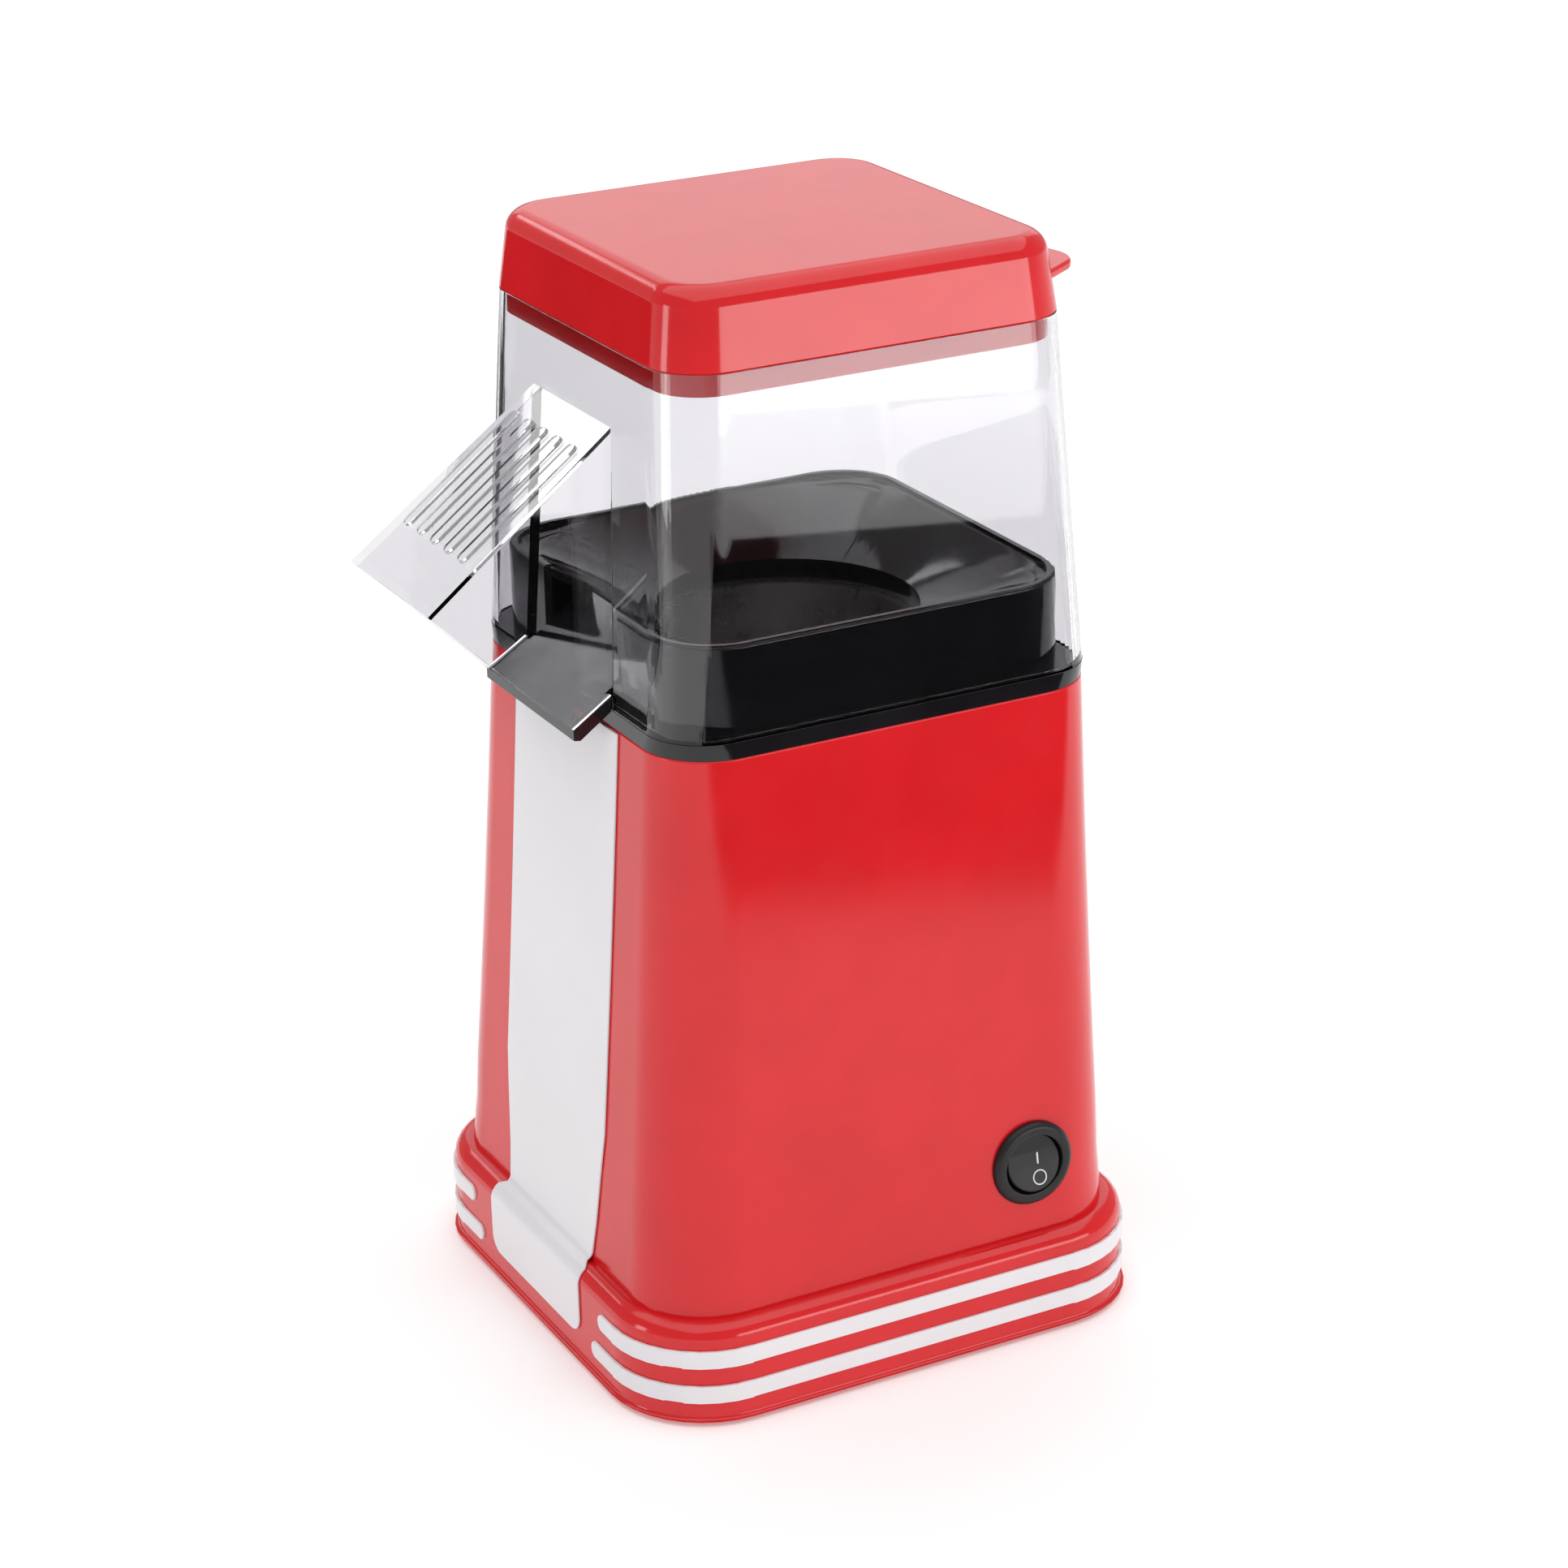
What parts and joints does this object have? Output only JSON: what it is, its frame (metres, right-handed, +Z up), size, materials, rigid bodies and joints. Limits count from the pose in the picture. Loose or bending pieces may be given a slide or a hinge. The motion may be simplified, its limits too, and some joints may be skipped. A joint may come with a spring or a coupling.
{
  "type": "popcorn maker",
  "caption": "Tabletop hot-air popcorn maker: tapered square body on a banded plinth, clear hood and chute over a black funnel, lift-off cap, rocker switch, fan and heater.",
  "frame": {"origin": "on the table plane under the middle of the popping chamber, at the middle foot", "axes": "+Z up; -Y towards the chute and the pale front strip; +X towards the side with the switch"},
  "size_m": [0.1494, 0.1788, 0.29],
  "materials": {
    "red_gloss": "glossy moulded plastic",
    "white_gloss": "glossy moulded plastic",
    "black_gloss": "glossy heat-resistant plastic",
    "black_satin": "satin",
    "clear": "clear polycarbonate",
    "rubber": "matt",
    "steel": "zinc plated",
    "brass": "plain",
    "aluminium": "spun, satin",
    "mica": "mica board",
    "heater": "oxidised",
    "ceramic": "ceramic and tinplate",
    "board": "laminate",
    "wheel": "glass-filled plastic"
  },
  "bodies": {
    "machine": {"base_plate": "black_satin", "base_plinth": "red_gloss", "body_screw_back": "steel", "body_screw_front": "steel", "body_screw_left": "steel", "body_screw_right": "steel", "body_shell": "red_gloss", "cord_bush": "black_satin", "cord_bush_nut": "black_satin", "cover_screw_left_back": "steel", "cover_screw_left_front": "steel", "cover_screw_right_back": "steel", "cover_screw_right_front": "steel", "diode_1": "black_satin", "diode_2": "black_satin", "diode_3": "black_satin", "diode_4": "black_satin", "fan_housing": "black_satin", "foot_left_back": "rubber", "foot_left_front": "rubber", "foot_middle": "rubber", "foot_right_back": "rubber", "foot_right_front": "rubber", "front_strip": "white_gloss", "funnel_screw_left_back": "steel", "funnel_screw_left_front": "steel", "funnel_screw_right_back": "steel", "funnel_screw_right_front": "steel", "funnel_tray": "black_gloss", "heater_duct": "steel", "heating_ring_inner": "heater", "heating_ring_outer": "heater", "mica_plate_x": "mica", "mica_plate_y": "mica", "motor_can": "steel", "motor_clamp": "steel", "popping_chamber": "aluminium", "rectifier_board": "board", "stripe_lower": "white_gloss", "stripe_upper": "white_gloss", "switch_housing": "black_satin", "switch_terminal_lower": "brass", "switch_terminal_upper": "brass", "thermal_fuse": "ceramic", "thermostat": "ceramic"},
    "hood": {"hood": "clear"},
    "cap": {"lid_cap": "red_gloss"},
    "rocker": {"switch_rocker": "black_satin"},
    "fan": {"fan_wheel": "wheel", "motor_shaft": "steel"}
  },
  "joints": [
    {"name": "hood_lift", "type": "slide", "parent": "machine", "child": "hood", "axis": [0, 0, 1], "range_m": [0, 0.12]},
    {"name": "cap_lift", "type": "slide", "parent": "hood", "child": "cap", "axis": [0, 0, 1], "range_m": [0, 0.08]},
    {"name": "rocker_tilt", "type": "hinge", "parent": "machine", "child": "rocker", "pos_m": [0.06586, 0.0349, 0.0476], "axis": [0, 1, 0], "range_deg": [0, 18]},
    {"name": "fan_spin", "type": "hinge", "parent": "machine", "child": "fan", "pos_m": [0, 0, 0.07], "axis": [0, 0, 1], "continuous": true}
  ]
}
